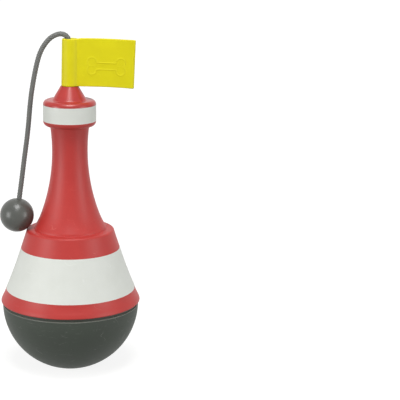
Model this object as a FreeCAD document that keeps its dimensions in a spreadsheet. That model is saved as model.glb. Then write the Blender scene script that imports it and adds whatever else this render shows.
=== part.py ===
# Floating treat toy in the shape of a marker buoy, as separate pieces in one assembly.
# The weighted bowl stands on its foot, the red and white top unscrews from it and lifts off,
# the flag turns on its mast, and a ball hangs from the mast on a cord.
# Millimetres, +Z up, origin at the centre of the foot, flag towards +X, ball towards -X.

import FreeCAD, Part
import math
import os
import Sketcher

Vector = FreeCAD.Vector
UP = Vector(0, 0, 1)

# Driving dimensions. Heights that end in _up are measured upwards from the seam between
# bowl and top, and depths that end in _down are measured downwards from it.
DIMENSIONS = {
    # Bowl: a half ball of rubber with a flat foot and a raised lip
    "body_radius": 55.0,
    "bowl_inset": 1.15,
    "foot_radius": 13.4,
    "bowl_wall": 4.9,
    "rim_drop": 0.85,
    "bowl_edge_round": 0.5,
    "base_height": 9.7,
    "lip_inset": 2.4,
    "lip_width": 1.8,
    "lip_up": 3.6,
    "ledge_width": 3.5,
    "ledge_drop": 1.0,
    "seam_gap": 1.7,
    # Hard liner in the bowl, with a threaded mouth over a smaller cup
    "liner_wall": 1.9,
    "liner_rise": 0.6,
    "mouth_down": 12.0,
    "cup_step": 1.0,
    "ballast_height": 5.6,
    "ballast_gap": 0.6,
    # Closure: three-start thread, flange and seal
    "thread_gap": 0.5,
    "spigot_wall": 2.2,
    "spigot_down": 9.5,
    "flange_inset": 4.6,
    "flange_height": 2.0,
    "seal_height": 1.8,
    "seal_width": 3.4,
    "thread_lead": 12.0,
    "thread_ridge": 1.5,
    "thread_root_width": 2.0,
    "thread_crest_width": 1.3,
    "thread_sink": 0.6,
    "lug_arc": 50.0,
    "lug_start": 65.0,
    "lowest_lug_down": 8.6,
    "ridge_arc": 180.0,
    # Chamber in the top
    "chamber_step": 1.1,
    "chamber_wall": 2.0,
    "chamber_cover": 3.8,
    "chamber_roof": 2.9,
    # Outside of the top, from the seam upwards
    "ring_edge_up": 2.5,
    "ring_edge_round": 0.6,
    "skirt_up": 4.2,
    "knee_rise": 3.7,
    "knee_inset": 1.6,
    "knee_curve": 16.0,
    "band_low_rise": 6.1,
    "ring_curve": 31.0,
    "band_low_inset": 4.0,
    "band_height": 32.8,
    "side_curve": 400.0,
    "shoulder_rise": 15.0,
    "shoulder_taper": 4.8,
    "shoulder_round": 1.8,
    "shelf_rise": 0.25,
    "shelf_width": 5.8,
    "crease_round": 0.4,
    "toe_rise": 2.0,
    "toe_taper": 0.54,
    "toe_curve": 4.0,
    "flare_rise": 12.65,
    "flare_taper": 5.6,
    "flare_curve": 65.0,
    "neck_length": 69.6,
    "neck_taper": 7.55,
    "neck_curve": 145.0,
    "neck_end_radius": 15.25,
    # Collar and mast cap
    "collar_step": 5.4,
    "collar_round": 4.1,
    "collar_edge": 0.2,
    "collar_band_height": 12.6,
    "collar_band_wall": 3.7,
    "cap_edge": 0.2,
    "cap_round": 3.4,
    "cap_shelf": 7.3,
    "cap_plug_length": 10.0,
    "cone_height": 10.8,
    "cone_margin": 0.6,
    "cone_round": 1.5,
    # Core of the neck
    "tube_cover": 5.9,
    "neck_tube_wall": 2.5,
    "float_cover_low": 5.6,
    "float_cover_high": 3.7,
    "float_height": 48.0,
    # Mast, flag and cord
    "mast_wall": 1.5,
    "mast_rise": 32.9,
    "sleeve_wall": 2.35,
    "sleeve_end_wall": 3.5,
    "flag_length": 51.15,
    "flag_step": 1.85,
    "flag_thickness": 2.6,
    "flag_sink": 0.2,
    "flag_rise": 0.7,
    "flag_droop": 1.35,
    "flag_spread": 0.55,
    "flag_lean": 1.4,
    "flag_corner": 0.7,
    "cord_radius": 2.05,
    "washer_gap": 0.7,
    "washer_height": 1.5,
    "knot_radius": 4.4,
    "ball_radius": 13.3,
    "ball_overhang": 5.7,
    "ball_dip": 2.1,
    "ball_knot_radius": 4.2,
    # Clearances
    "turning_gap": 0.3,
    "cord_gap": 0.1,
}

THREAD_STARTS = 3
LUGS_IN_A_STACK = 3
KNOT_FLAT_SHARE = 0.8  # height of a knot's flat above its middle, as a share of its radius

# The free cord's route in the plane y = 0, up to its highest place and down from it. Each point
# is the share of the way across from the mast's axis to the ball's middle, and the share of
# the way up from the ball's middle to the mast's end.
CORD_RISE = [
    (0.0, 1.0),
    (0.0, 1.037),
    (0.1331, 1.0605),
]
CORD_DROP = [
    (0.3272, 1.0395),
    (0.4604, 0.9927),
    (0.5441, 0.9438),
    (0.6029, 0.8802),
    (0.6654, 0.7876),
    (0.7265, 0.6696),
    (0.7734, 0.4999),
    (0.8505, 0.3346),
    (0.9174, 0.1772),
]
ARC_SHARE = 0.45


class Size(float):
    """A number in millimetres or degrees that also keeps the formula it comes from."""

    def __new__(cls, value, formula):
        size = super().__new__(cls, value)
        size.formula = formula
        return size

    def __add__(self, other):
        return Size(float(self) + float(other), f"({self.formula} + {formula_of(other)})")

    def __radd__(self, other):
        return Size(float(other) + float(self), f"({formula_of(other)} + {self.formula})")

    def __sub__(self, other):
        return Size(float(self) - float(other), f"({self.formula} - {formula_of(other)})")

    def __rsub__(self, other):
        return Size(float(other) - float(self), f"({formula_of(other)} - {self.formula})")

    def __mul__(self, other):
        return Size(float(self) * float(other), f"({self.formula} * {formula_of(other)})")

    def __rmul__(self, other):
        return Size(float(other) * float(self), f"({formula_of(other)} * {self.formula})")

    def __truediv__(self, other):
        return Size(float(self) / float(other), f"({self.formula} / {formula_of(other)})")

    def __neg__(self):
        return Size(-float(self), f"(-1 * {self.formula})")


def formula_of(number):
    return number.formula if isinstance(number, Size) else repr(float(number))


def leg(long_side, short_side):
    """The other short side of a right triangle with this long side."""
    square = long_side * long_side - short_side * short_side
    return Size(math.sqrt(square), f"sqrt({formula_of(square)})")


doc = FreeCAD.newDocument("treat_float")
sheet = doc.addObject("Spreadsheet::Sheet", "Sizes")
for row, (alias, value) in enumerate(DIMENSIONS.items(), start=1):
    sheet.set(f"A{row}", alias.replace("_", " "))
    sheet.set(f"B{row}", str(value))
    sheet.setAlias(f"B{row}", alias)
doc.recompute()


def size(alias):
    return Size(sheet.get(alias), f"Sizes.{alias}")


def plane(body, role):
    return [item for item in body.Origin.OriginFeatures if item.Role == role][0]


def new_body(label):
    body = doc.addObject("PartDesign::Body", label)
    body.Label = label
    return body


def arc_centre(start, end, radius):
    """Centre of the short arc from start to end, which turns left where radius is positive."""
    middle = (start + end) * 0.5
    chord = end - start
    height = math.sqrt(max(radius * radius - chord.Length * chord.Length / 4, 0.0))
    left = Vector(-chord.y, chord.x, 0).normalize()
    return middle + left * math.copysign(height, radius)


def draw(body, points, role="XZ_Plane", offset=None, turn=None):
    """A closed sketch. Each point is (across, up), and a third number is the radius of the arc
    that leads to it from the point before, positive where the arc turns left."""
    sketch = body.newObject("Sketcher::SketchObject", body.Label + "_sketch")
    sketch.AttachmentSupport = [(plane(body, role), "")]
    sketch.MapMode = "FlatFace"
    if offset is not None:
        sketch.setExpression("AttachmentOffset.Base.z", offset.formula)
    if turn is not None:
        about = FreeCAD.Rotation(Vector(0, 1, 0), float(turn))
        sketch.AttachmentOffset = FreeCAD.Placement(Vector(), about)
        sketch.setExpression("AttachmentOffset.Rotation.Angle", turn.formula)
    ends = []
    for index, point in enumerate(points):
        last = points[index - 1]
        start = Vector(float(last[0]), float(last[1]), 0)
        end = Vector(float(point[0]), float(point[1]), 0)
        if len(point) == 2:
            sketch.addGeometry(Part.LineSegment(start, end), False)
            ends.append((1, 2))
            continue
        radius = float(point[2])
        centre = arc_centre(start, end, radius)
        first, second = (start, end) if radius > 0 else (end, start)
        from_angle = math.atan2(first.y - centre.y, first.x - centre.x)
        to_angle = math.atan2(second.y - centre.y, second.x - centre.x)
        circle = Part.Circle(centre, UP, abs(radius))
        sketch.addGeometry(Part.ArcOfCircle(circle, from_angle, to_angle), False)
        ends.append((1, 2) if radius > 0 else (2, 1))
    for index, point in enumerate(points):
        following = (index + 1) % len(points)
        corner = (index, ends[index][1])
        sketch.addConstraint(
            Sketcher.Constraint("Coincident", *corner, following, ends[following][0])
        )
        for kind, axis, number in (("DistanceX", -2, point[0]), ("DistanceY", -1, point[1])):
            if float(number) == 0.0:
                sketch.addConstraint(Sketcher.Constraint("PointOnObject", *corner, axis))
                continue
            held = Sketcher.Constraint(kind, -1, 1, *corner, float(number))
            which = sketch.addConstraint(held)
            if isinstance(number, Size):
                sketch.setExpression(f"Constraints[{which}]", number.formula)
        if len(point) == 3:
            which = sketch.addConstraint(
                Sketcher.Constraint("Radius", index, abs(float(point[2])))
            )
            bent = point[2] if float(point[2]) > 0 else -point[2]
            sketch.setExpression(f"Constraints[{which}]", formula_of(bent))
    return sketch


def turned(label, points):
    """A piece of revolution about the Z axis."""
    body = new_body(label)
    revolution = body.newObject("PartDesign::Revolution", label + "_turned")
    revolution.Profile = draw(body, points)
    revolution.ReferenceAxis = (revolution.Profile[0], ["V_Axis"])
    revolution.Angle = 360
    doc.recompute()
    return body


def is_rim(edge, radius, height):
    """Whether an edge is a circle about the Z axis with this radius at this height."""
    curve = edge.Curve
    if not isinstance(curve, Part.Circle):
        return False
    return abs(curve.Radius - radius) < 1e-4 and abs(curve.Center.z - height) < 1e-4


def round_edges(body, radius, chosen):
    """Fillets the edges of the body that chosen says yes to."""
    before = body.Tip
    names = [f"Edge{i}" for i, edge in enumerate(before.Shape.Edges, start=1) if chosen(edge)]
    if not names:
        raise RuntimeError(f"{body.Label} has no such edge to round")
    fillet = body.newObject("PartDesign::Fillet", body.Label + "_round")
    fillet.Base = (before, names)
    fillet.setExpression("Radius", radius.formula)
    doc.recompute()


def round_rim(body, radius, at):
    round_edges(body, radius, lambda edge: is_rim(edge, float(at[0]), float(at[1])))


def spread_around(body, features, copies):
    """Repeats features around the Z axis."""
    pattern = body.newObject("PartDesign::PolarPattern", body.Label + "_around")
    pattern.Originals = features
    pattern.Axis = (features[0].Profile[0], ["V_Axis"])
    pattern.Angle = 360
    pattern.Occurrences = copies
    body.Tip = pattern
    doc.recompute()


def thread_rib(body, root, crest, height, arc):
    """A right-handed helical rib of trapezoid section, its start at this height."""
    sink = size("thread_sink") if float(crest) > float(root) else -size("thread_sink")
    half_root = size("thread_root_width") / 2
    half_crest = size("thread_crest_width") / 2
    corners = [
        (root - sink, height - half_root),
        (crest, height - half_crest),
        (crest, height + half_crest),
        (root - sink, height + half_root),
    ]
    rib = body.newObject("PartDesign::AdditiveHelix", body.Label + "_rib")
    rib.Profile = draw(body, corners, turn=size("lug_start"))
    rib.ReferenceAxis = (rib.Profile[0], ["V_Axis"])
    rib.Mode = "pitch-turns-angle"
    rib.setExpression("Pitch", size("thread_lead").formula)
    rib.setExpression("Turns", (arc / 360).formula)
    doc.recompute()
    return rib


# Places that more than one piece shares: the bowl and the closure
bowl_radius = size("body_radius") - size("bowl_inset")
seam = leg(bowl_radius, size("foot_radius"))
bowl_inner_radius = bowl_radius - size("bowl_wall")
rim = seam - size("rim_drop")
rim_radius = leg(bowl_radius, size("rim_drop"))
lip_radius = size("body_radius") - size("lip_inset")
lip_inner_radius = lip_radius - size("lip_width")
lip_top = seam + size("lip_up")
ledge = lip_top - size("ledge_drop")
liner_radius = lip_inner_radius - size("ledge_width")
liner_top = ledge + size("liner_rise")
mouth_radius = liner_radius - size("liner_wall")
mouth_floor = seam - size("mouth_down")
liner_step = mouth_floor - size("liner_wall")
cup_radius = mouth_radius - size("cup_step")
cup_outer_radius = cup_radius + size("liner_wall")
bowl_floor = size("base_height")
ballast_top = bowl_floor + size("ballast_height")
cup_floor = ballast_top + size("liner_wall")
spigot_radius = mouth_radius - size("thread_ridge") - size("thread_gap")
spigot_bore = spigot_radius - size("spigot_wall")
flange_radius = size("body_radius") - size("flange_inset")
flange_low = liner_top + size("seal_height")
flange_top = flange_low + size("flange_height")
lowest_lug = seam - size("lowest_lug_down")
lug_spacing = size("thread_lead") / THREAD_STARTS

# The outside of the top
knee = seam + size("ring_edge_up") + size("knee_rise")
band_low = knee + size("band_low_rise")
band_low_radius = size("body_radius") - size("band_low_inset")
band_high = band_low + size("band_height")
shoulder = band_high + size("shoulder_rise")
crease = shoulder + size("shelf_rise")
flare = crease + size("flare_rise")
collar_low = flare + size("neck_length")
flare_radius = size("neck_end_radius") + size("neck_taper")
crease_radius = flare_radius + size("flare_taper")
shoulder_radius = crease_radius + size("shelf_width")
band_high_radius = shoulder_radius + size("shoulder_taper")
collar_radius = size("neck_end_radius") + size("collar_step")
collar_hub_radius = collar_radius - size("collar_band_wall")
collar_band_low = collar_low + size("collar_round") + size("collar_edge")
collar_band_high = collar_band_low + size("collar_band_height")
cap_top = collar_band_high + size("cap_edge") + size("cap_round")
cone_top = cap_top + size("cone_height")
plug_end = collar_band_high - size("cap_plug_length")

# The hollow and the core of the top
chamber_end = shoulder - size("chamber_roof")
chamber_foot_radius = spigot_radius + size("chamber_step")
chamber_end_radius = shoulder_radius - size("chamber_cover")
float_top = chamber_end + size("float_height")
float_foot_radius = crease_radius - size("float_cover_low")
float_top_radius = size("neck_end_radius") - size("float_cover_high")
neck_tube_radius = size("neck_end_radius") - size("tube_cover")
neck_bore = neck_tube_radius - size("neck_tube_wall")

# Mast, sleeve and cord
cord_bore = size("cord_radius") + size("cord_gap")
mast_radius = cord_bore + size("mast_wall")
mast_end = cone_top + size("mast_rise")
sleeve_bore = mast_radius + size("turning_gap")
sleeve_radius = sleeve_bore + size("sleeve_wall")
sleeve_low = cone_top + size("turning_gap")
sleeve_floor = mast_end + size("turning_gap")
sleeve_top = sleeve_floor + size("sleeve_end_wall")
ball_across = shoulder_radius + size("ball_radius") - size("ball_overhang")
ball_middle = shoulder + size("ball_radius") - size("ball_dip")


def chamber_radius(height):
    """Outer radius of the tapered chamber wall at a height."""
    rise = (height - flange_top) / (chamber_end - flange_top)
    return chamber_foot_radius - (chamber_foot_radius - chamber_end_radius) * rise


def make_bowl_skin():
    inner = bowl_inner_radius
    body = turned("bowl_skin", [
        (0.0, 0.0),
        (size("foot_radius"), 0.0),
        (rim_radius, rim, bowl_radius),
        (lip_radius, rim),
        (lip_radius, lip_top),
        (lip_inner_radius, lip_top),
        (lip_inner_radius, ledge),
        (liner_radius, ledge),
        (liner_radius, liner_step),
        (leg(inner, seam - liner_step), liner_step),
        (leg(inner, seam - bowl_floor), bowl_floor, -inner),
        (0.0, bowl_floor),
    ])
    round_rim(body, size("bowl_edge_round"), (rim_radius, rim))
    round_rim(body, size("lip_width") / 4, (lip_radius, lip_top))
    return body


def make_bowl_liner():
    cup_low = ballast_top
    body = turned("bowl_liner", [
        (0.0, cup_low),
        (leg(cup_outer_radius, seam - cup_low), cup_low),
        (leg(cup_outer_radius, seam - liner_step), liner_step, cup_outer_radius),
        (liner_radius, liner_step),
        (liner_radius, liner_top),
        (mouth_radius, liner_top),
        (mouth_radius, mouth_floor),
        (leg(cup_radius, seam - mouth_floor), mouth_floor),
        (leg(cup_radius, seam - cup_floor), cup_floor, -cup_radius),
        (0.0, cup_floor),
    ])
    crest = mouth_radius - size("thread_ridge")
    lugs = [
        thread_rib(body, mouth_radius, crest, lowest_lug + lug_spacing * step, size("lug_arc"))
        for step in range(LUGS_IN_A_STACK)
    ]
    spread_around(body, lugs, THREAD_STARTS)
    return body


def make_ballast_disc():
    radius = leg(bowl_inner_radius, seam - bowl_floor) - size("ballast_gap")
    return turned("ballast_disc", [
        (0.0, bowl_floor),
        (radius, bowl_floor),
        (radius, ballast_top),
        (0.0, ballast_top),
    ])


def make_seal_ring():
    inner = spigot_radius + size("turning_gap")
    outer = inner + size("seal_width")
    return turned("seal_ring", [
        (inner, liner_top),
        (outer, liner_top),
        (outer, flange_low),
        (inner, flange_low),
    ])


def make_upper_liner():
    end_low = chamber_end - size("chamber_wall")
    spigot_end = seam - size("spigot_down")
    body = turned("upper_liner", [
        (spigot_bore, spigot_end),
        (spigot_radius, spigot_end),
        (spigot_radius, flange_low),
        (flange_radius, flange_low),
        (flange_radius, flange_top),
        (chamber_foot_radius, flange_top),
        (chamber_end_radius, chamber_end),
        (0.0, chamber_end),
        (0.0, end_low),
        (chamber_end_radius - size("chamber_wall"), end_low),
        (spigot_bore, flange_top),
    ])
    crest = spigot_radius + size("thread_ridge")
    start = lowest_lug + lug_spacing / 2
    ridge = thread_rib(body, spigot_radius, crest, start, size("ridge_arc"))
    spread_around(body, [ridge], THREAD_STARTS)
    return body


def make_lower_ring():
    skirt = lip_radius + size("turning_gap")
    low = seam + size("seam_gap")
    skirt_top = seam + size("skirt_up")
    body = turned("lower_ring", [
        (skirt, low),
        (size("body_radius"), low),
        (size("body_radius"), seam + size("ring_edge_up")),
        (size("body_radius") - size("knee_inset"), knee, size("knee_curve")),
        (band_low_radius, band_low, -size("ring_curve")),
        (chamber_radius(band_low), band_low),
        (chamber_foot_radius, flange_top),
        (flange_radius, flange_top),
        (flange_radius, skirt_top),
        (skirt, skirt_top),
    ])
    round_rim(body, size("ring_edge_round"), (size("body_radius"), low))
    return body


def make_wide_band():
    return turned("wide_band", [
        (chamber_radius(band_low), band_low),
        (band_low_radius, band_low),
        (band_high_radius, band_high, -size("side_curve")),
        (chamber_radius(band_high), band_high),
    ])


def make_neck_skin():
    body = turned("neck_skin", [
        (chamber_radius(band_high), band_high),
        (band_high_radius, band_high),
        (shoulder_radius, shoulder, -size("side_curve")),
        (crease_radius, crease),
        (crease_radius - size("toe_taper"), crease + size("toe_rise"), size("toe_curve")),
        (flare_radius, flare, -size("flare_curve")),
        (size("neck_end_radius"), collar_low, -size("neck_curve")),
        (collar_radius, collar_low),
        (collar_radius, collar_band_low),
        (collar_hub_radius, collar_band_low),
        (collar_hub_radius, collar_band_high),
        (neck_tube_radius, collar_band_high),
        (neck_tube_radius, float_top),
        (float_top_radius, float_top),
        (float_foot_radius, chamber_end),
        (chamber_end_radius, chamber_end),
    ])
    round_rim(body, size("shoulder_round"), (shoulder_radius, shoulder))
    round_rim(body, size("crease_round"), (crease_radius, crease))
    round_rim(body, size("collar_round"), (collar_radius, collar_low))
    return body


def make_float_core():
    return turned("float_core", [
        (neck_tube_radius, chamber_end),
        (float_foot_radius, chamber_end),
        (float_top_radius, float_top),
        (neck_tube_radius, float_top),
    ])


def make_neck_tube():
    return turned("neck_tube", [
        (neck_bore, chamber_end),
        (neck_tube_radius, chamber_end),
        (neck_tube_radius, collar_band_high),
        (neck_bore, collar_band_high),
    ])


def make_collar_band():
    return turned("collar_band", [
        (collar_hub_radius, collar_band_low),
        (collar_radius, collar_band_low),
        (collar_radius, collar_band_high),
        (collar_hub_radius, collar_band_high),
    ])


def make_collar_cap():
    cone_foot_radius = collar_radius - size("cap_shelf")
    body = turned("collar_cap", [
        (mast_radius, plug_end),
        (neck_bore, plug_end),
        (neck_bore, collar_band_high),
        (collar_radius, collar_band_high),
        (collar_radius, cap_top),
        (cone_foot_radius, cap_top),
        (sleeve_radius + size("cone_margin"), cone_top),
        (mast_radius, cone_top),
    ])
    round_rim(body, size("cap_round"), (collar_radius, cap_top))
    round_rim(body, size("cone_round"), (cone_foot_radius, cap_top))
    return body


def make_mast_tube():
    return turned("mast_tube", [
        (cord_bore, plug_end),
        (mast_radius, plug_end),
        (mast_radius, mast_end),
        (cord_bore, mast_end),
    ])


def make_anchor_washer():
    radius = neck_bore - size("washer_gap")
    low = plug_end - size("washer_height")
    return turned("anchor_washer", [
        (cord_bore, low),
        (radius, low),
        (radius, plug_end),
        (cord_bore, plug_end),
    ])


def knot(label, radius, middle):
    """A tight knot as a ball, flat where the cord runs into it."""
    flat = radius * KNOT_FLAT_SHARE
    return turned(label, [
        (0.0, middle - radius),
        (radius, middle, radius),
        (leg(radius, flat), middle + flat, radius),
        (0.0, middle + flat),
    ])


def make_anchor_knot():
    radius = size("knot_radius")
    middle = plug_end - size("washer_height") - radius * KNOT_FLAT_SHARE
    return knot("anchor_knot", radius, middle)


def make_cord_in_mast():
    return turned("cord_in_mast", [
        (0.0, plug_end - size("washer_height")),
        (size("cord_radius"), plug_end - size("washer_height")),
        (size("cord_radius"), mast_end),
        (0.0, mast_end),
    ])


def make_flag():
    """The sleeve turns on the mast, and the panel leaves it a step behind its front."""
    hole = size("cord_radius") + size("turning_gap")
    root = sleeve_bore + size("flag_sink")
    back = sleeve_radius - size("flag_step") - size("flag_thickness")
    body = turned("flag", [
        (sleeve_bore, sleeve_low),
        (sleeve_radius, sleeve_low),
        (sleeve_radius, sleeve_top),
        (hole, sleeve_top),
        (hole, sleeve_floor),
        (sleeve_bore, sleeve_floor),
    ])
    panel = body.newObject("PartDesign::Pad", "flag_panel")
    panel.Profile = draw(body, [
        (root, sleeve_low),
        (size("flag_length") - size("flag_lean"),
         sleeve_low - size("flag_droop") - size("flag_spread")),
        (size("flag_length"), sleeve_top + size("flag_rise") - size("flag_droop")),
        (sleeve_radius + size("flag_thickness"), sleeve_top + size("flag_rise")),
        (root, sleeve_top),
    ], offset=back)
    panel.setExpression("Length", size("flag_thickness").formula)
    doc.recompute()
    outermost = float(size("flag_length") - size("flag_lean"))
    thickness = float(size("flag_thickness"))

    def is_corner(edge):
        box = edge.BoundBox
        return box.XMin > outermost - 1e-4 and abs(edge.Length - thickness) < 1e-4

    round_edges(body, size("flag_corner"), is_corner)
    return body


def tube_path(points):
    """Straight runs joined by arcs as large as the shorter run of each corner allows."""
    edges = []
    radii = []
    here = points[0]
    for before, corner, after in zip(points, points[1:], points[2:]):
        arriving = (corner - before).normalize()
        leaving = (after - corner).normalize()
        half_turn = arriving.getAngle(leaving) / 2
        reach = ARC_SHARE * min((corner - before).Length, (after - corner).Length)
        radius = reach / math.tan(half_turn)
        centre = corner + (leaving - arriving).normalize() * (radius / math.cos(half_turn))
        start = corner - arriving * reach
        end = corner + leaving * reach
        middle = centre + (corner - centre).normalize() * radius
        edges.append(Part.LineSegment(here, start).toShape())
        edges.append(Part.Arc(start, middle, end).toShape())
        radii.append(round(radius, 1))
        here = end
    edges.append(Part.LineSegment(here, points[-1]).toShape())
    return Part.Wire(edges), radii


def cord_stretch(label, points):
    """A plain round tube along points, held to its section times its length."""
    path, radii = tube_path(points)
    section = Part.Circle(points[0], points[1] - points[0], float(size("cord_radius")))
    tube = path.makePipeShell([Part.Wire(section.toShape())], True, False)
    expected = math.pi * float(size("cord_radius")) ** 2 * path.Length
    if abs(tube.Volume / expected - 1) > 0.01:
        raise RuntimeError(f"{label} has the wrong volume")
    feature = doc.addObject("Part::Feature", label)
    feature.Label = label
    feature.Shape = tube
    feature.Placement = FreeCAD.Placement()
    print(label, "length", round(path.Length, 1), "radii", radii)
    return feature


def ball_centre():
    return Vector(-float(ball_across), 0, float(ball_middle))


def route_points(shares):
    rise = float(mast_end - ball_middle)
    middle = ball_centre()
    return [Vector(middle.x * across, 0, middle.z + rise * up) for across, up in shares]


def cord_top():
    """The cord's highest place, where it starts to fall."""
    return (route_points(CORD_RISE)[-1] + route_points(CORD_DROP)[0]) * 0.5


def cord_end():
    """Where the cord meets its knot in the ball, and the direction of its last run, upwards."""
    along = (route_points(CORD_DROP)[-1] - ball_centre()).normalize()
    return ball_centre() + along * float(size("ball_knot_radius") * KNOT_FLAT_SHARE), along


def make_cord_bend():
    return cord_stretch("cord_bend", route_points(CORD_RISE) + [cord_top()])


def make_cord_fall():
    end, _ = cord_end()
    return cord_stretch("cord_fall", [cord_top()] + route_points(CORD_DROP) + [end])


def hang_on_cord(body):
    """Turns a piece about its own centre onto the cord's last run and moves it there."""
    _, along = cord_end()
    body.Placement = FreeCAD.Placement(ball_centre(), FreeCAD.Rotation(UP, along))


def make_ball():
    radius = size("ball_radius")
    hollow = size("ball_knot_radius") + size("cord_gap")
    body = turned("ball", [
        (0.0, -radius),
        (radius, 0.0, radius),
        (cord_bore, leg(radius, cord_bore), radius),
        (cord_bore, leg(hollow, cord_bore)),
        (hollow, 0.0, -hollow),
        (0.0, -hollow, -hollow),
    ])
    hang_on_cord(body)
    return body


def make_ball_knot():
    body = knot("ball_knot", size("ball_knot_radius"), Size(0.0, "0"))
    hang_on_cord(body)
    return body


PIECES = [
    make_bowl_skin(),
    make_bowl_liner(),
    make_ballast_disc(),
    make_seal_ring(),
    make_upper_liner(),
    make_lower_ring(),
    make_wide_band(),
    make_neck_skin(),
    make_float_core(),
    make_neck_tube(),
    make_collar_band(),
    make_collar_cap(),
    make_mast_tube(),
    make_anchor_washer(),
    make_anchor_knot(),
    make_cord_in_mast(),
    make_flag(),
    make_cord_bend(),
    make_cord_fall(),
    make_ball(),
    make_ball_knot(),
]
doc.recompute()

for item in doc.Objects:
    if "Invalid" in item.State or "Error" in item.State:
        raise RuntimeError(f"{item.Label} did not build: {item.State}")
for piece in PIECES:
    if piece.Shape.isNull() or not piece.Shape.isValid():
        raise RuntimeError(f"{piece.Label} has no valid shape")

os.makedirs("parts", exist_ok=True)
for piece in PIECES:
    piece.Shape.exportStep(os.path.join("parts", piece.Label + ".step"))
    print(piece.Label, "solids", len(piece.Shape.Solids), "volume", round(piece.Shape.Volume, 1))
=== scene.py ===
"""Floating treat toy: a weighted rubber bowl, a red and white top that screws onto it, a yellow
flag on the mast, and a ball on a braided cord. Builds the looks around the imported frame."""

import math

import bmesh
import bpy
import numpy as np
from bpy.props import (
    FloatProperty, FloatVectorProperty, IntProperty, PointerProperty, StringProperty)
from mathutils import Matrix, Vector


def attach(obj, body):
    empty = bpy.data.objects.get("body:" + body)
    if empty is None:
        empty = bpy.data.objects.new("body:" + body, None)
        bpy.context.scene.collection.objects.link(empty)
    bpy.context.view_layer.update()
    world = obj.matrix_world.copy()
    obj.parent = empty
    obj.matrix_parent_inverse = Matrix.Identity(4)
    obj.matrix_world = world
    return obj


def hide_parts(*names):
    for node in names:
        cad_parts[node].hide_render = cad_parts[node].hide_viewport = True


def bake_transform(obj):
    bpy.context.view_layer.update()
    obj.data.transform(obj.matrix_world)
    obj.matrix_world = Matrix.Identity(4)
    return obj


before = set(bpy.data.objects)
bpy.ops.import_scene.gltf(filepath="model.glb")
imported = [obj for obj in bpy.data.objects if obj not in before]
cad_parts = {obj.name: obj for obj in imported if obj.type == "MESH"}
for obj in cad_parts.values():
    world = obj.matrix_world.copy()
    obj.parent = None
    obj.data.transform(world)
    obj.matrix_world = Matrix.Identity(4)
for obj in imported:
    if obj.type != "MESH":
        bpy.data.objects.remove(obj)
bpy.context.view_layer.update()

bl_info = {
    "name": "Floating treat toy",
    "version": (1, 0, 0),
    "blender": (4, 5, 0),
    "location": "View3D > Sidebar > Treat toy",
    "description": "Builds a buoy-shaped treat toy with its flag, ball and cord "
                   "around its packed frame",
    "category": "Object",
}

MM = 0.001
# The bowl's rounded outer edge between these heights is painted pale as a highlight.
BOWL_EDGE_HIGHLIGHT = (0.0508, 0.0514)  # heights between which the bowl's outer edge is rounded
RING_UNIT = 2 * math.pi / 20  # distance between the rings of a wave texture of scale 1

# The cord's route in the plane y = 0, in metres, from the mast's mouth to the knot in the ball.
CORD_ROUTE = [
    (0.0, 0.25896),
    (0.0, 0.26323),
    (-0.00556, 0.26716),
    (-0.01366, 0.26431),
    (-0.01922, 0.25797),
    (-0.02272, 0.25135),
    (-0.02517, 0.24273),
    (-0.02778, 0.23018),
    (-0.03033, 0.21419),
    (-0.03229, 0.19119),
    (-0.03551, 0.16879),
    (-0.03830, 0.14746),
    (-0.04127, 0.12678),
]


# ---- finishes ----


def linear(hex_colour):
    """An sRGB hex colour as a linear RGBA tuple."""
    channels = [int(hex_colour[i:i + 2], 16) / 255 for i in (1, 3, 5)]
    return tuple(
        c / 12.92 if c <= 0.04045 else ((c + 0.055) / 1.055) ** 2.4 for c in channels
    ) + (1.0,)


def add_node(tree, kind, settings=None, inputs=None):
    """Adds a node. Settings are its own fields, and inputs are values or other nodes' outputs."""
    node = tree.nodes.new(kind)
    for name, value in (settings or {}).items():
        setattr(node, name, value)
    for name, value in (inputs or {}).items():
        socket = node.inputs[name]
        if isinstance(value, bpy.types.NodeSocket):
            tree.links.new(value, socket)
        else:
            socket.default_value = value
    return node


def new_finish(name):
    """An empty material: its node tree, its principled shader and its object coordinates."""
    material = bpy.data.materials.new(name)
    material.use_nodes = True
    tree = material.node_tree
    tree.nodes.clear()
    shader = add_node(tree, "ShaderNodeBsdfPrincipled")
    add_node(tree, "ShaderNodeOutputMaterial", inputs={"Surface": shader.outputs["BSDF"]})
    place = add_node(tree, "ShaderNodeTexCoord").outputs["Object"]
    return material, tree, shader, place


def two_tones(tree, factor, low, shade, high, colour):
    """Colour that runs from a shade at a low factor to the full colour at a high one."""
    ramp = add_node(tree, "ShaderNodeValToRGB", inputs={"Fac": factor})
    for element, position, tone in zip(ramp.color_ramp.elements, (low, high), (shade, colour)):
        element.position = position
        element.color = linear(tone)
    return ramp.outputs["Color"]


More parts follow.
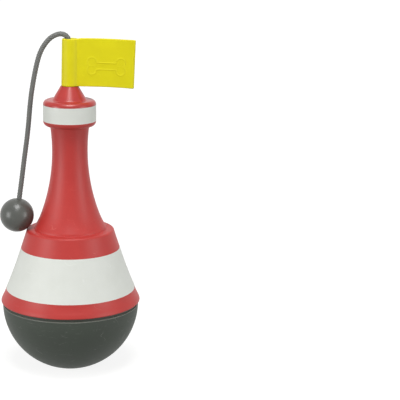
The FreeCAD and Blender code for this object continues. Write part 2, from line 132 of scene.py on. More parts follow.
def moulded_rubber(name, colour, shade, pale, roughness=0.46, grain_mm=0.45, scuffs=0.25,
                   pits=0.6, ior=1.50, scratches=0.4, painted_highlight_band=None):
    """Thermoplastic rubber, injection moulded in a spark-eroded tool: an even colour with faint
    flow clouds, a fine leathery grain that spreads the highlight, and a few pale scuffs. A painted
    highlight band is a range of heights, along a rounded edge, where the colour is painted pale as
    a highlight."""
    material, tree, shader, place = new_finish(name)
    clouds = add_node(tree, "ShaderNodeTexNoise", inputs={
        "Vector": place, "Scale": 1 / (14 * MM), "Detail": 3.0, "Roughness": 0.55})
    tinted = two_tones(tree, clouds.outputs["Fac"], 0.30, shade, 0.72, colour)
    # Scuffs are 8 mm long streaks, a fifth as wide, where two noises meet
    stretched = add_node(tree, "ShaderNodeMapping", inputs={
        "Vector": place, "Rotation": (0.3, 0.5, 0.9), "Scale": (1.0, 1.0, 5.0)})
    streaks = add_node(tree, "ShaderNodeTexNoise", inputs={
        "Vector": stretched.outputs["Vector"], "Scale": 1 / (8 * MM), "Detail": 5.0,
        "Roughness": 0.7, "Distortion": 0.6})
    marks = add_node(tree, "ShaderNodeMapRange", inputs={
        "Value": streaks.outputs["Fac"], "From Min": 0.60, "From Max": 0.76, "To Max": scuffs})
    scuffs_and_highlight = hairlines(tree, place, marks.outputs["Result"], scratches)
    # Painted highlight: a pale band at the heights of a rounded edge, on top of the scuffs
    if painted_highlight_band:
        scuffs_and_highlight = painted_edge_highlight(tree, place, scuffs_and_highlight, *painted_highlight_band)
    scuffed_and_highlit = add_node(tree, "ShaderNodeMix", {"data_type": "RGBA"}, {
        0: scuffs_and_highlight, 6: tinted, 7: linear(pale)})
    grain = add_node(tree, "ShaderNodeTexNoise", inputs={
        "Vector": place, "Scale": 1 / (grain_mm * MM), "Detail": 2.0, "Roughness": 0.5})
    gloss = add_node(tree, "ShaderNodeMapRange", inputs={
        "Value": clouds.outputs["Fac"], "To Min": roughness - 0.05, "To Max": roughness + 0.07})
    # Grain 0.02 mm deep over moulding waves of 0.05 mm, drawn a little coarser than it is
    waves = add_node(tree, "ShaderNodeTexNoise", inputs={
        "Vector": place, "Scale": 1 / (9 * MM), "Detail": 1.0})
    rippled = add_node(tree, "ShaderNodeBump", inputs={
        "Height": waves.outputs["Fac"], "Distance": 0.10 * MM, "Strength": 0.5})
    pitted = add_node(tree, "ShaderNodeBump", inputs={
        "Height": grain.outputs["Fac"], "Distance": 0.035 * MM, "Strength": pits,
        "Normal": rippled.outputs["Normal"]})
    shader.inputs["IOR"].default_value = ior
    tree.links.new(scuffed_and_highlit.outputs[2], shader.inputs["Base Color"])
    tree.links.new(gloss.outputs["Result"], shader.inputs["Roughness"])
    tree.links.new(pitted.outputs["Normal"], shader.inputs["Normal"])
    return material


def hairlines(tree, place, marks, strength):
    """The scuffs, and a few short scratches: a noise is cut at its middle value, which draws thin
    curved lines 0.5 mm wide, and they show only where a second noise is high."""
    lines = add_node(tree, "ShaderNodeTexNoise", inputs={
        "Vector": place, "Scale": 1 / (17 * MM), "Detail": 1.0, "Distortion": 0.8})
    apart = add_node(tree, "ShaderNodeMath", {"operation": "SUBTRACT"}, {
        0: lines.outputs["Fac"], 1: 0.5})
    distance = add_node(tree, "ShaderNodeMath", {"operation": "ABSOLUTE"}, {
        0: apart.outputs["Value"]})
    line = add_node(tree, "ShaderNodeMapRange", inputs={
        "Value": distance.outputs["Value"], "From Min": 0.002, "From Max": 0.007,
        "To Min": strength, "To Max": 0.0})
    places = add_node(tree, "ShaderNodeTexNoise", inputs={
        "Vector": place, "Scale": 1 / (11 * MM), "Detail": 2.0, "Roughness": 0.6})
    shown = add_node(tree, "ShaderNodeMapRange", inputs={
        "Value": places.outputs["Fac"], "From Min": 0.60, "From Max": 0.66})
    scratch = add_node(tree, "ShaderNodeMath", {"operation": "MULTIPLY"}, {
        0: line.outputs["Result"], 1: shown.outputs["Result"]})
    return add_node(tree, "ShaderNodeMath", {"operation": "MAXIMUM"}, {
        0: marks, 1: scratch.outputs["Value"]}).outputs["Value"]


def painted_edge_highlight(tree, place, marks, low, high):
    """The scuffs, and a painted highlight of nearly full strength between two heights, fading over
    0.2 mm at both.
    """
    height = add_node(tree, "ShaderNodeSeparateXYZ", inputs={"Vector": place}).outputs["Z"]
    above = add_node(tree, "ShaderNodeMapRange", inputs={
        "Value": height, "From Min": low - 0.1 * MM, "From Max": low + 0.1 * MM, "To Max": 0.8})
    below = add_node(tree, "ShaderNodeMapRange", inputs={
        "Value": height, "From Min": high - 0.1 * MM, "From Max": high + 0.1 * MM,
        "To Min": 1.0, "To Max": 0.0})
    band = add_node(tree, "ShaderNodeMath", {"operation": "MULTIPLY"}, {
        0: above.outputs["Result"], 1: below.outputs["Result"]})
    return add_node(tree, "ShaderNodeMath", {"operation": "MAXIMUM"}, {
        0: marks, 1: band.outputs["Value"]}).outputs["Value"]


def moulded_polypropylene(name, colour, shade, roughness=0.34):
    """Polypropylene, injection moulded in a polished tool: smooth and waxy, slightly see-through
    at its edges, with faint rings where the tool was turned."""
    material, tree, shader, place = new_finish(name)
    clouds = add_node(tree, "ShaderNodeTexNoise", inputs={
        "Vector": place, "Scale": 1 / (22 * MM), "Detail": 2.0})
    tinted = two_tones(tree, clouds.outputs["Fac"], 0.30, shade, 0.70, colour)
    # Turning rings 0.9 mm apart about the Z axis
    rings = add_node(tree, "ShaderNodeTexWave", {
        "wave_type": "RINGS", "rings_direction": "Z"}, {
        "Vector": place, "Scale": RING_UNIT / (0.9 * MM), "Distortion": 0.3, "Detail": 1.0})
    turned = add_node(tree, "ShaderNodeBump", inputs={
        "Height": rings.outputs["Fac"], "Distance": 0.003 * MM, "Strength": 0.5})
    gloss = add_node(tree, "ShaderNodeMapRange", inputs={
        "Value": clouds.outputs["Fac"], "To Min": roughness - 0.05, "To Max": roughness + 0.06})
    shader.inputs["IOR"].default_value = 1.49
    shader.inputs["Subsurface Weight"].default_value = 0.15
    shader.inputs["Subsurface Radius"].default_value = (1.0, 1.0, 1.0)
    shader.inputs["Subsurface Scale"].default_value = 0.8 * MM
    tree.links.new(tinted, shader.inputs["Base Color"])
    tree.links.new(gloss.outputs["Result"], shader.inputs["Roughness"])
    tree.links.new(turned.outputs["Normal"], shader.inputs["Normal"])
    return material


def closed_cell_foam(name, colour, shade):
    """Polyethylene foam, cut from a block: matt, off-white, with open cut cells."""
    material, tree, shader, place = new_finish(name)
    cells = add_node(tree, "ShaderNodeTexVoronoi", inputs={
        "Vector": place, "Scale": 1 / (0.9 * MM), "Randomness": 1.0})
    tinted = add_node(tree, "ShaderNodeMix", {"data_type": "RGBA"}, {
        0: cells.outputs["Distance"], 6: linear(colour), 7: linear(shade)})
    pitted = add_node(tree, "ShaderNodeBump", inputs={
        "Height": cells.outputs["Distance"], "Distance": 0.2 * MM, "Strength": 0.8})
    shader.inputs["Roughness"].default_value = 0.85
    tree.links.new(tinted.outputs[2], shader.inputs["Base Color"])
    tree.links.new(pitted.outputs["Normal"], shader.inputs["Normal"])
    return material


def zinc_plated_steel(name, colour, shade):
    """Turned steel with bright zinc plating: bluish grey metal with cutting rings 0.4 mm apart
    and soft spangle."""
    material, tree, shader, place = new_finish(name)
    spangle = add_node(tree, "ShaderNodeTexVoronoi", inputs={
        "Vector": place, "Scale": 1 / (3 * MM)})
    tinted = add_node(tree, "ShaderNodeMix", {"data_type": "RGBA"}, {
        0: spangle.outputs["Distance"], 6: linear(colour), 7: linear(shade)})
    rings = add_node(tree, "ShaderNodeTexWave", {
        "wave_type": "RINGS", "rings_direction": "Z"}, {
        "Vector": place, "Scale": RING_UNIT / (0.4 * MM), "Distortion": 0.2})
    turned = add_node(tree, "ShaderNodeBump", inputs={
        "Height": rings.outputs["Fac"], "Distance": 0.02 * MM, "Strength": 0.6})
    shader.inputs["Metallic"].default_value = 1.0
    shader.inputs["Roughness"].default_value = 0.33
    tree.links.new(tinted.outputs[2], shader.inputs["Base Color"])
    tree.links.new(turned.outputs["Normal"], shader.inputs["Normal"])
    return material


def braided_polyester(name, colour, shade, pale):
    """Polyester cord, plaited from twelve flat bundles: matt with a slight sheen, each bundle of
    fine parallel threads, with painted shade darkening it where the bundles dive under each other."""
    material, tree, shader, place = new_finish(name)
    depth = add_node(tree, "ShaderNodeAttribute", {"attribute_name": "height"}).outputs["Fac"]
    thread = add_node(tree, "ShaderNodeAttribute", {"attribute_name": "thread"}).outputs["Fac"]
    fuzz = add_node(tree, "ShaderNodeTexNoise", inputs={
        "Vector": place, "Scale": 1 / (0.25 * MM), "Detail": 3.0})
    patches = add_node(tree, "ShaderNodeTexNoise", inputs={
        "Vector": place, "Scale": 1 / (2.5 * MM), "Detail": 2.0})
    # Painted shade: the colour falls to the shade colour where a bundle dips towards the core
    tinted = two_tones(tree, depth, 0.0, shade, 0.85, colour)
    lit = add_node(tree, "ShaderNodeMath", {"operation": "MULTIPLY"}, {
        0: patches.outputs["Fac"], 1: 0.35})
    mottled = add_node(tree, "ShaderNodeMix", {"data_type": "RGBA"}, {
        0: lit.outputs["Value"], 6: tinted, 7: linear(pale)})
    # The threads lie side by side in a bundle and run along it
    ridges = add_node(tree, "ShaderNodeMath", {"operation": "SINE"}, {0: thread})
    combed = add_node(tree, "ShaderNodeBump", inputs={
        "Height": ridges.outputs["Value"], "Distance": 0.02 * MM, "Strength": 0.7})
    fuzzy = add_node(tree, "ShaderNodeBump", inputs={
        "Height": fuzz.outputs["Fac"], "Distance": 0.04 * MM, "Strength": 0.5,
        "Normal": combed.outputs["Normal"]})
    shader.inputs["Roughness"].default_value = 0.72
    shader.inputs["Sheen Weight"].default_value = 0.08
    shader.inputs["Sheen Roughness"].default_value = 0.5
    tree.links.new(mottled.outputs[2], shader.inputs["Base Color"])
    tree.links.new(fuzzy.outputs["Normal"], shader.inputs["Normal"])
    return material


def dress(node, material):
    """Gives a CAD node its finish."""
    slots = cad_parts[node].data.materials
    slots.clear()
    slots.append(material)


# ---- meshes ----


def grid_faces(rows, columns, closed):
    """Quads between the points of a grid that is stored row by row, its rows closed or not."""
    row, column = np.meshgrid(
        np.arange(rows - 1), np.arange(columns if closed else columns - 1), indexing="ij")
    beside = (column + 1) % columns
    corners = (row * columns + column, row * columns + beside,
               (row + 1) * columns + beside, (row + 1) * columns + column)
    return np.stack(corners, axis=-1).reshape(-1, 4)


def mesh_object(name, points, faces, material, merge=0.0):
    """A smooth-shaded object at the origin from arrays of points and quads, its doubles merged."""
    mesh = bpy.data.meshes.new(name)
    mesh.from_pydata(points.reshape(-1, 3).tolist(), [], faces.tolist())
    if merge > 0:
        worked = bmesh.new()
        worked.from_mesh(mesh)
        bmesh.ops.remove_doubles(worked, verts=worked.verts, dist=merge)
        bmesh.ops.dissolve_degenerate(worked, edges=worked.edges, dist=merge)
        bmesh.ops.recalc_face_normals(worked, faces=worked.faces)
        worked.to_mesh(mesh)
        worked.free()
    mesh.polygons.foreach_set("use_smooth", np.ones(len(mesh.polygons), bool))
    mesh.materials.append(material)
    piece = bpy.data.objects.new(name, mesh)
    bpy.context.scene.collection.objects.link(piece)
    return piece


# ---- cord ----

THREADS = 9  # threads side by side in a bundle
ARCH = 3.2  # how steeply a bundle's back falls off to its sides


def route_line():
    """Points along the route's smooth line, as its spline gives them."""
    curve = bpy.data.curves.new("cord_route", "CURVE")
    curve.dimensions = "3D"
    spline = curve.splines.new("NURBS")
    spline.points.add(len(CORD_ROUTE) - 1)
    for point, (across, up) in zip(spline.points, CORD_ROUTE):
        point.co = (across, 0.0, up, 1.0)
    spline.order_u = 3
    spline.use_endpoint_u = True
    spline.resolution_u = 40
    route = bpy.data.objects.new("cord_route", curve)
    bpy.context.scene.collection.objects.link(route)
    line = bpy.data.meshes.new_from_object(route)
    points = np.zeros(len(line.vertices) * 3)
    line.vertices.foreach_get("co", points)
    bpy.data.objects.remove(route)
    bpy.data.curves.remove(curve)
    bpy.data.meshes.remove(line)
    return points.reshape(-1, 3)


def evenly(points, count):
    """The line through the points, as count points at equal steps of its length."""
    steps = np.linalg.norm(np.diff(points, axis=0), axis=1)
    along = np.concatenate([[0.0], np.cumsum(steps)])
    wanted = np.linspace(0.0, along[-1], count)
    return np.stack([np.interp(wanted, along, points[:, i]) for i in range(3)], axis=1), along[-1]


def braided_cord(settings, material):
    """A plaited tube along the route. A point at length s and angle v lies off the line by the
    core's radius plus the higher of two bundles of strands. One family of bundles turns with s
    and the other against it, each bundle is a flat arch across its width, and it rises and dips
    as a cosine along its length, so that it passes over one crossing and under the next."""
    line, length = evenly(route_line(), settings.rings)
    tangent = np.gradient(line, axis=0)
    tangent /= np.linalg.norm(tangent, axis=1, keepdims=True)
    side = np.tile([0.0, 1.0, 0.0], (settings.rings, 1))
    outward = np.cross(side, tangent)
    along = np.linspace(0.0, length, settings.rings)[:, None]
    turn = np.linspace(0.0, 1.0, settings.around, endpoint=False)[None, :]
    bundles = settings.bundles // 2
    lay = along / settings.lay_length
    first = bundles * (turn - lay)
    second = bundles * (turn + lay)
    arch = [np.sqrt(np.clip(1 - ARCH * (f - np.round(f)) ** 2, 0, 1)) for f in (first, second)]
    over = 0.5 + 0.5 * np.cos(np.pi * (second + np.round(first)))
    under = 0.5 - 0.5 * np.cos(np.pi * (first + np.round(second)))
    heights = [arch[0] * over, arch[1] * under]
    height = np.maximum(*heights)
    thread = np.where(heights[0] >= heights[1], first, second) * 2 * math.pi * THREADS
    radius = settings.diameter / 2 - settings.relief * (1 - height)
    angle = 2 * math.pi * turn
    points = (line[:, None, :]
              + (radius * np.cos(angle))[..., None] * outward[:, None, :]
              + (radius * np.sin(angle))[..., None] * side[:, None, :])
    tube = grid_faces(settings.rings, settings.around, True)
    points = np.concatenate([points.reshape(-1, 3), line[[0, -1]]])
    ring = np.arange(settings.around)
    following = (ring + 1) % settings.around
    last = (settings.rings - 1) * settings.around
    start, end = len(points) - 2, len(points) - 1
    caps = [[start, b, a] for a, b in zip(ring.tolist(), following.tolist())]
    caps += [[end, last + a, last + b] for a, b in zip(ring.tolist(), following.tolist())]
    mesh = bpy.data.meshes.new("cord")
    mesh.from_pydata(points.tolist(), [], tube.tolist() + caps)
    mesh.polygons.foreach_set("use_smooth", np.ones(len(mesh.polygons), bool))
    for name, values in (("height", height), ("thread", thread)):
        flat = np.concatenate([np.broadcast_to(values, height.shape).ravel(), [0.0, 0.0]])
        attribute = mesh.attributes.new(name, "FLOAT", "POINT")
        attribute.data.foreach_set("value", flat.astype(np.float32))
    mesh.materials.append(material)
    cord = bpy.data.objects.new("cord", mesh)
    bpy.context.scene.collection.objects.link(cord)
    return cord, line, length


# ---- flag ----

FLAG_SLEEVE, FLAG_ROOT, FLAG_TIP = 88, 16, 12  # points round the sleeve, each hollow and the tip
FLAG_BEND = 11  # points of the front hollow's arc, the rest of it being straight
FLAG_SLIT = math.radians(-23)  # where the panel's middle line meets the bore

BONE_BAR = (9.5 * MM, 2.5 * MM)  # half the bar's length and width
BONE_KNOB = (11.3 * MM, 3.0 * MM)  # a knob's distance from the bone's middle, along and across
BONE_KNOB_RADIUS = 3.5 * MM
BONE_MERGE = 1.0 * MM  # width over which bar and knobs run into each other
BONE_LINE = 1.3 * MM  # width of the raised outline
BONE_HEIGHT = 0.25 * MM
BONE_DROP = 2.5 * MM  # how far the bone sits below the panel's middle
BONE_FROM = 10 * MM  # distance from the mast's axis at which the panel may be raised


def arc(centre, radius, start, end, count):
    """Points on an arc, from one angle to another in radians."""
    angle = np.linspace(start, end, count)
    return np.stack([centre[0] + radius * np.cos(angle), centre[1] + radius * np.sin(angle)], 1)


def bone_relief(across, up):
    """Raised outline of a plain bone: a bar and four knobs merged by a smooth minimum, and the
    height is a soft ridge where the distance to that outline is small."""
    x, z = np.abs(across), np.abs(up)
    bar = np.maximum(x - BONE_BAR[0], z - BONE_BAR[1])
    knob = np.hypot(x - BONE_KNOB[0], z - BONE_KNOB[1]) - BONE_KNOB_RADIUS
    share = np.clip(0.5 + 0.5 * (knob - bar) / BONE_MERGE, 0, 1)
    edge = knob * (1 - share) + bar * share - BONE_MERGE * share * (1 - share)
    ridge = np.clip(1 - np.abs(edge) / (BONE_LINE / 2), 0, 1)
    return BONE_HEIGHT * ridge * ridge * (3 - 2 * ridge)


def flag_outline(settings):
    """The flag's plan as a closed line: round the sleeve, through a hollow to the front of the
    panel, round its tip, back along the panel and through a hollow to the sleeve."""
    outer, front, hollow = settings.sleeve_radius, settings.front, settings.hollow
    back = front - settings.thickness
    half = settings.thickness / 2
    front_x = math.sqrt((outer + hollow) ** 2 - (front + hollow) ** 2)
    back_x = math.sqrt((outer + hollow) ** 2 - (hollow - back) ** 2)
    front_angle = math.atan2(-(front + hollow), front_x)
    back_angle = math.atan2(hollow - back, back_x)
    panel_x = np.linspace(settings.panel_start, settings.length - half, settings.columns)
    run_x = np.linspace(front_x, settings.panel_start, FLAG_ROOT - FLAG_BEND + 2)[1:-1]
    return np.concatenate([
        arc((0, 0), outer, back_angle, front_angle + 2 * math.pi, FLAG_SLEEVE),
        arc((front_x, -(front + hollow)), hollow, front_angle + math.pi, math.pi / 2,
            FLAG_BEND + 1)[1:],
        np.stack([run_x, np.full(len(run_x), -front)], 1),
        np.stack([panel_x, np.full(len(panel_x), -front)], 1),
        arc((settings.length - half, -(front + back) / 2), half, -math.pi / 2, math.pi / 2,
            FLAG_TIP + 2)[1:-1],
        np.stack([panel_x[::-1], np.full(len(panel_x), -back)], 1),
        arc((back_x, hollow - back), hollow, -math.pi / 2, back_angle - math.pi,
            FLAG_ROOT + 1)[:-1],
    ])


def flag_inner_line(settings, radius):
    """The line that the flag's ends close on, point for point beside its outline: round a hole of
    this radius, then out along the panel's middle to the tip and back."""
    turn = FLAG_SLIT + 2 * math.pi * np.linspace(0, 1, FLAG_SLEEVE)
    circle = radius * np.stack([np.cos(turn), np.sin(turn)], 1)
    middle_y = settings.thickness / 2 - settings.front
    panel_x = np.linspace(settings.panel_start, settings.length - settings.thickness / 2,
                          settings.columns)
    panel = np.stack([panel_x, np.full(len(panel_x), middle_y)], 1)
    step = np.linspace(0, 1, FLAG_ROOT + 2)[1:-1, None]
    slit = circle[0] + (panel[0] - circle[0]) * step
    tip = np.repeat(panel[-1:], FLAG_TIP, 0)
    return np.concatenate([circle, slit, panel, tip, panel[::-1], slit[::-1]])


def make_flag(settings, material):
    """A soft moulded flag: the plan's outline carried upwards, with rounded upper and lower
    edges, closed between the outline and the bore, and open where mast and cord run through.
    The panel bows in a shallow wave that grows from the sleeve, droops towards its tip, and
    carries a raised bone on both sides."""
    outline = flag_outline(settings)
    forward = np.roll(outline, -1, 0) - np.roll(outline, 1, 0)
    normal = np.stack([forward[:, 1], -forward[:, 0]], 1)
    normal /= np.linalg.norm(normal, axis=1, keepdims=True)
    low, high, rim = settings.low, settings.high, settings.edge_round
    bend = np.linspace(0, math.pi / 2, 6)
    inset = rim * (1 - np.sin(bend))
    lift = rim * (1 - np.cos(bend))
    wall = np.linspace(low + rim, high - rim, settings.rows)[1:-1]
    levels = np.concatenate([low + lift, wall, (high - lift)[::-1]])
    insets = np.concatenate([inset, np.zeros(len(wall)), inset[::-1]])
    place = outline[None, :, :] - insets[:, None, None] * normal[None, :, :]
    relief = bone_relief(place[..., 0] - settings.motif_x,
                         levels[:, None] - (low + high) / 2 + BONE_DROP)
    place[..., 1] += relief * np.round(normal[None, :, 1]) * (place[..., 0] > BONE_FROM)
    below = flag_inner_line(settings, settings.bore)
    above = flag_inner_line(settings, settings.cord_hole)
    mouth = flag_inner_line(settings, settings.cord_hole + settings.mouth_flare)
    plan = np.concatenate([below[None], place, mouth[None]])
    levels = np.concatenate([[low], levels, [high]])
    heights = np.broadcast_to(levels[:, None, None], plan.shape[:2] + (1,))
    shell = np.concatenate([plan, heights], -1)
    # The bore's own wall belongs to the sleeve's columns alone
    floor = np.full((FLAG_SLEEVE, 1), settings.floor)
    inside = np.stack([
        shell[-1, :FLAG_SLEEVE],
        np.concatenate([above[:FLAG_SLEEVE],
                        np.full_like(floor, high - settings.mouth_depth)], 1),
        np.concatenate([above[:FLAG_SLEEVE], floor], 1),
        np.concatenate([below[:FLAG_SLEEVE], floor], 1),
        shell[0, :FLAG_SLEEVE],
    ])
    faces = np.concatenate([
        grid_faces(len(levels), len(outline), True),
        grid_faces(len(inside), FLAG_SLEEVE, False) + shell[..., 0].size,
    ])
    points = np.concatenate([shell.reshape(-1, 3), inside.reshape(-1, 3)])
    return mesh_object("flag_panel", bend_panel(points, settings), faces, material,
                       merge=0.01 * MM)


def bend_panel(points, settings):
    """Draws the sleeve's outside in towards its upper end, squares its front where the panel
    leaves it, and moves the points of the panel: a wave, the tip's rounded corners, its droop and
    leaning edge, its lower corner's extra fall and the bow of its raised upper edge, all growing
    from nothing at the sleeve."""
    x, y, z = points[..., 0], points[..., 1], points[..., 2]
    reach = np.clip((x - settings.sleeve_radius) / (settings.length - settings.sleeve_radius), 0, 1)
    level = (z - settings.low) / (settings.high - settings.low)
    wave = settings.wave * (np.sin(2 * math.pi * (0.85 * reach + 0.08 * level))
                            - 0.55 * np.sin(2 * math.pi * 0.08 * level)) * reach ** 0.6
    corner = settings.corner
    middle, half = (settings.low + settings.high) / 2, (settings.high - settings.low) / 2
    near = np.clip((np.abs(z - middle) - (half - corner)) / corner, 0, 1)
    cut = corner * (1 - np.sqrt(1 - near ** 2)) * np.clip(
        (x - settings.length + 5 * MM) / (5 * MM), 0, 1)
    step = np.clip((x - 4 * MM) / (5 * MM), 0, 1)
    rise = (settings.rise * step * step * (3 - 2 * step) + 0.25 * MM * np.sin(math.pi * reach))
    tip = np.clip((reach - 0.55) / 0.45, 0, 1) ** 2
    around = np.hypot(x, y)
    outside = around > (settings.bore + settings.sleeve_radius) / 2
    drawn = (settings.taper * level * outside * np.clip(1 - x / (4 * MM), 0, 1)
             / np.maximum(around, MM))
    across = np.clip(x / settings.panel_start, 0, 1)
    squared = settings.square * np.sin(math.pi * across) ** 2 * outside * (y < -2 * MM)
    moved_x = x * (1 - drawn) + squared - cut - settings.lean * (1 - level) * reach
    moved_z = (z + rise * level - settings.droop * reach ** 1.3
               - settings.spread * (1 - level) * tip)
    return np.stack([moved_x, y * (1 - drawn) + wave, moved_z], -1)


# ---- settings ----


def length_setting(label, description, default):
    return FloatProperty(name=label, description=description, default=default, unit="LENGTH",
                         precision=4)


def count_setting(label, description, default):
    return IntProperty(name=label, description=description, default=default)


def power_setting(label, description, default):
    return FloatProperty(name=label, description=description, default=default, unit="POWER")


def angle_setting(label, description, degrees):
    return FloatProperty(name=label, description=description, default=math.radians(degrees),
                         subtype="ANGLE")


def colour_setting(label, description, default):
    return StringProperty(name=label, description=description, default=default)


class CordSettings(bpy.types.PropertyGroup):
    diameter: length_setting("Diameter", "Outside diameter of the plaited cord", 0.0041)
    relief: length_setting("Relief", "Depth between a bundle's top and the core", 0.00050)
    lay_length: length_setting("Lay length", "Length in which a bundle goes once round", 0.0135)
    bundles: count_setting("Bundles", "Bundles of strands in both directions", 12)
    rings: count_setting("Rings", "Rings of points along the cord", 930)
    around: count_setting("Points round", "Points in each ring", 88)


class FlagSettings(bpy.types.PropertyGroup):
    low: length_setting("Lower end", "Height of the sleeve's lower end", 0.22618)
    high: length_setting("Upper end", "Height of the sleeve's upper end", 0.26276)
    floor: length_setting("Bore end", "Height at which the mast's bore ends", 0.25926)
    bore: length_setting("Bore", "Radius of the mast's bore", 0.00395)
    cord_hole: length_setting("Cord hole", "Radius of the cord's hole", 0.00235)
    mouth_flare: length_setting("Mouth flare", "How much the hole widens at its mouth", 0.00085)
    mouth_depth: length_setting("Mouth depth", "Depth over which the hole widens", 0.0020)
    sleeve_radius: length_setting("Sleeve radius", "Outer radius of the sleeve", 0.0063)
    taper: length_setting("Taper", "How much narrower the sleeve's upper end is", 0.0007)
    square: length_setting("Squareness", "How far the sleeve's front is squared", 0.0010)
    front: length_setting("Front", "Distance of the panel's front from the mast's axis", 0.00425)
    thickness: length_setting("Thickness", "Thickness of the panel", 0.0026)
    hollow: length_setting("Hollow", "Radius of the hollow between sleeve and panel", 0.0012)
    panel_start: length_setting("Panel start", "Where the flat panel starts", 0.0090)
    length: length_setting("Length", "Distance of the tip from the mast's axis", 0.05115)
    edge_round: length_setting("Edge rounding", "Radius of the upper and lower edges", 0.0006)
    corner: length_setting("Corner", "Radius of the panel's corners", 0.0007)
    wave: length_setting("Wave", "Sideways reach of the panel's wave", 0.0007)
    droop: length_setting("Droop", "How far the tip hangs down", 0.00135)
    lean: length_setting("Lean", "How far the tip's lower corner stands back", 0.0014)
    rise: length_setting("Rise", "How far the panel's upper edge stands above the sleeve", 0.0007)
    spread: length_setting("Spread", "How much further the tip's lower corner hangs", 0.00055)
    motif_x: length_setting(
        "Motif place", "Distance of the raised bone from the mast's axis", 0.0287)
    columns: count_setting("Columns", "Columns of points along the panel", 135)
    rows: count_setting("Rows", "Rows of points up the panel", 122)


class ColourSettings(bpy.types.PropertyGroup):
    red: colour_setting("Red", "sRGB hex of the red rubber", "#B93631")
    white: colour_setting("White", "sRGB hex of the white rubber", "#DDE0DA")
    yellow: colour_setting("Yellow", "sRGB hex of the yellow rubber", "#DFD500")
    bowl: colour_setting("Bowl", "sRGB hex of the bowl's rubber", "#414840")
    ball: colour_setting("Ball", "sRGB hex of the ball's rubber", "#565853")
    liner: colour_setting("Liner", "sRGB hex of the liners", "#C6CFD1")
    cord: colour_setting("Cord", "sRGB hex of the cord", "#6E6F6C")


class StageSettings(bpy.types.PropertyGroup):
    camera_place: FloatVectorProperty(
        name="Camera place", description="Where the camera stands", size=3, subtype="TRANSLATION",
        default=(0.0, -1.16709, 0.41390))
    camera_pitch: angle_setting("Pitch", "How far the camera looks down", 13.4106)
    camera_yaw: angle_setting("Yaw", "How far the camera looks to the right", 5.026)
    camera_roll: angle_setting("Roll", "How far the camera leans to the left", 0.810)
    lens: FloatProperty(name="Lens", description="Focal length in millimetres", default=136.589)
    sky: FloatProperty(name="Sky", description="Strength of the even light", default=0.25)
    left: power_setting("Left box", "Power of the tall lamp on the left", 3.9)
    right: power_setting("Right box", "Power of the tall lamp on the right", 2.7)
    top: power_setting("Top box", "Power of the lamp overhead", 5.9)
    front: power_setting("Front box", "Power of the lamp high in front", 1.3)


# ---- operators ----


class BowlOperator(bpy.types.Operator):
    """Finishes the bowl: rubber skin, threaded liner, ballast disc and seal"""
    bl_idname = "treat_toy.bowl"
    bl_label = "Bowl and closure"

    def execute(self, context):
        colours = context.scene.treat_toy_colours
        # The pale band at the bowl's rounded rim edge is a painted highlight, not wear.
        dress("bowl_skin", moulded_rubber(
            "tpr_moulded_olive_grey", colours.bowl, "#3D433C", "#8E938A", 0.58, scuffs=0.36,
            ior=1.41, scratches=0.35, painted_highlight_band=BOWL_EDGE_HIGHLIGHT))
        dress("bowl_liner", moulded_polypropylene(
            "polypropylene_moulded_light_grey", colours.liner, "#BAC4C7"))
        dress("seal_ring", moulded_rubber(
            "silicone_moulded_slate", "#3F4646", "#3A4041", "#5A6060", 0.55, scuffs=0.1))
        dress("ballast_disc", zinc_plated_steel("steel_turned_zinc_plated", "#C9CDD2", "#A9AEB6"))
        return {"FINISHED"}


class TopOperator(bpy.types.Operator):
    """Finishes the top: chamber, ring, wide band, neck, its core, and the collar with its cap"""
    bl_idname = "treat_toy.top"
    bl_label = "Top and collar"

    def execute(self, context):
        colours = context.scene.treat_toy_colours
        dress("upper_liner", moulded_polypropylene(
            "polypropylene_moulded_chamber", colours.liner, "#BAC4C7"))
        red = moulded_rubber(
            "tpr_moulded_red", colours.red, "#B3322E", "#D2685F", 0.45, scuffs=0.22, ior=1.46)
        for node in ("lower_ring", "neck_skin"):
            dress(node, red)
        # The cap's red is a darker copy of the neck's red: painted shade for the cone's less lit
        # sides.
        dress("collar_cap", moulded_rubber(
            "tpr_moulded_red_polished", "#AD302B", "#A72C29", "#C4564E", 0.27, scuffs=0.15,
            pits=0.10))
        white = moulded_rubber(
            "tpr_moulded_off_white", colours.white, "#D8DBD4", "#EEF0ED", 0.50, scuffs=0.12)
        for node in ("wide_band", "collar_band"):
            dress(node, white)
        dress("float_core", closed_cell_foam("polyethylene_foam_cut", "#ECEBE2", "#CFCDC2"))
        tube = moulded_polypropylene("polypropylene_extruded_tube", "#D8D8D2", "#CCCCC6")
        for node in ("neck_tube", "mast_tube", "anchor_washer"):
            dress(node, tube)
        return {"FINISHED"}


class FlagOperator(bpy.types.Operator):
    """Builds the flag with its sleeve in place of its plain solid"""
    bl_idname = "treat_toy.flag"
    bl_label = "Flag"

    def execute(self, context):
        yellow = moulded_rubber(
            "tpr_moulded_yellow", context.scene.treat_toy_colours.yellow, "#D9CE00", "#EFE81A",
            0.55, scuffs=0.12, ior=1.42)
        flag = make_flag(context.scene.treat_toy_flag, yellow)
        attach(flag, "flag")
        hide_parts("flag")
        dress("flag", yellow)
        return {"FINISHED"}


class CordOperator(bpy.types.Operator):
    """Builds the plaited cord along its route and finishes the ball and the knots on it"""
    bl_idname = "treat_toy.cord"
    bl_label = "Cord and ball"

    def execute(self, context):
        colours = context.scene.treat_toy_colours
        settings = context.scene.treat_toy_cord
        # 3E3F3D is the painted shade in the dips between the bundles
        braid = braided_polyester("polyester_plaited_grey", colours.cord, "#3E3F3D", "#858683")
        cord, line, length = braided_cord(settings, braid)
        for node in ("cord_bend", "cord_fall", "cord_in_mast", "anchor_knot", "ball_knot"):
            dress(node, braid)
        dress("ball", moulded_rubber(
            "tpr_moulded_ball_grey", colours.ball, "#4F514D", "#7F817C", 0.28, scuffs=0.18,
            pits=0.02, ior=1.46))
        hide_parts("cord_bend", "cord_fall")
        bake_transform(cord)
        print("cord length", round(length, 4))
        return {"FINISHED"}


